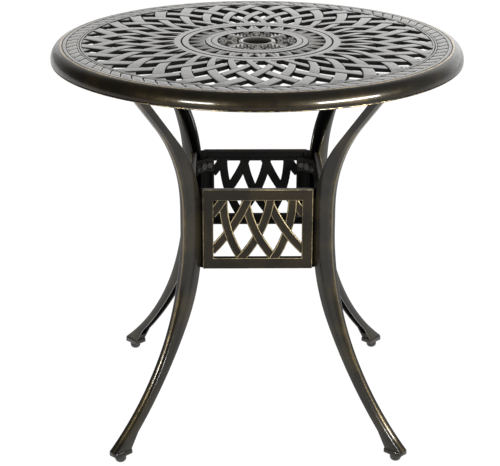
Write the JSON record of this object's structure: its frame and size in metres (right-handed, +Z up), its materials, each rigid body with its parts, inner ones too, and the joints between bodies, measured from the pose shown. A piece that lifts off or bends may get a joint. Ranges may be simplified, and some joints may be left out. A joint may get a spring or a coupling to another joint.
{
  "type": "umbrella table",
  "caption": "Round cast metal patio table with a woven top, a centre umbrella hole, bowed channel legs, woven side panels and screw-in levelling glides.",
  "frame": {"origin": "on the floor under the centre of the umbrella hole, level with the undersides of the glide pads", "axes": "+Z up along the umbrella hole; the side woven panel at the front faces -Y, the right one faces +X; the legs stand on the diagonals between them"},
  "size_m": [0.7619, 0.762, 0.7365],
  "materials": {
    "bronze_top": "antique bronze powder coat over cast aluminium, rubbed lighter on the raised edges, semi-gloss",
    "bronze_leg": "antique bronze powder coat over cast aluminium, brass rubbed along the front ridge, semi-gloss",
    "bronze_panel": "antique bronze powder coat over cast aluminium, brass rubbed along the strips, semi-gloss",
    "brace_steel": "dark bronze painted steel plate",
    "zinc_steel": "dull zinc plated steel",
    "black_nylon": "moulded black nylon"
  },
  "bodies": {
    "table": {"table_top": "bronze_top", "leg_front_left": "bronze_leg", "leg_front_right": "bronze_leg", "leg_rear_left": "bronze_leg", "leg_rear_right": "bronze_leg", "panel_front": "bronze_panel", "panel_rear": "bronze_panel", "panel_left": "bronze_panel", "panel_right": "bronze_panel", "corner_brace_front_left_lower": "brace_steel", "corner_brace_front_right_lower": "brace_steel", "corner_brace_rear_left_lower": "brace_steel", "corner_brace_rear_right_lower": "brace_steel", "corner_brace_front_left_upper": "brace_steel", "corner_brace_front_right_upper": "brace_steel", "corner_brace_rear_left_upper": "brace_steel", "corner_brace_rear_right_upper": "brace_steel", "head_bolts": "zinc_steel", "head_washers": "zinc_steel", "brace_bolts": "zinc_steel", "brace_washers": "zinc_steel", "panel_screws": "zinc_steel"},
    "stud_front_left": {"glide_stud_front_left": "zinc_steel"},
    "stud_front_right": {"glide_stud_front_right": "zinc_steel"},
    "stud_rear_left": {"glide_stud_rear_left": "zinc_steel"},
    "stud_rear_right": {"glide_stud_rear_right": "zinc_steel"},
    "pad_front_left": {"glide_pad_front_left": "black_nylon"},
    "pad_front_right": {"glide_pad_front_right": "black_nylon"},
    "pad_rear_left": {"glide_pad_rear_left": "black_nylon"},
    "pad_rear_right": {"glide_pad_rear_right": "black_nylon"}
  },
  "joints": [
    {"name": "glide_screw_front_left", "type": "slide", "parent": "table", "child": "stud_front_left", "axis": [0, 0, -1], "range_m": [0, 0.006]},
    {"name": "glide_turn_front_left", "type": "hinge", "parent": "stud_front_left", "child": "pad_front_left", "pos_m": [-0.25527, -0.25527, 0.01], "axis": [0, 0, -1], "range_deg": [0, 1729]},
    {"name": "glide_screw_front_right", "type": "slide", "parent": "table", "child": "stud_front_right", "axis": [0, 0, -1], "range_m": [0, 0.006]},
    {"name": "glide_turn_front_right", "type": "hinge", "parent": "stud_front_right", "child": "pad_front_right", "pos_m": [0.25527, -0.25527, 0.01], "axis": [0, 0, -1], "range_deg": [0, 1729]},
    {"name": "glide_screw_rear_left", "type": "slide", "parent": "table", "child": "stud_rear_left", "axis": [0, 0, -1], "range_m": [0, 0.006]},
    {"name": "glide_turn_rear_left", "type": "hinge", "parent": "stud_rear_left", "child": "pad_rear_left", "pos_m": [-0.25527, 0.25527, 0.01], "axis": [0, 0, -1], "range_deg": [0, 1729]},
    {"name": "glide_screw_rear_right", "type": "slide", "parent": "table", "child": "stud_rear_right", "axis": [0, 0, -1], "range_m": [0, 0.006]},
    {"name": "glide_turn_rear_right", "type": "hinge", "parent": "stud_rear_right", "child": "pad_rear_right", "pos_m": [0.25527, 0.25527, 0.01], "axis": [0, 0, -1], "range_deg": [0, 1729]}
  ],
  "couplings": [
    {"joint": "glide_turn_front_left", "follows": "glide_screw_front_left", "rad_per_m": 5026.5},
    {"joint": "glide_turn_front_right", "follows": "glide_screw_front_right", "rad_per_m": 5026.5},
    {"joint": "glide_turn_rear_left", "follows": "glide_screw_rear_left", "rad_per_m": 5026.5},
    {"joint": "glide_turn_rear_right", "follows": "glide_screw_rear_right", "rad_per_m": 5026.5}
  ]
}
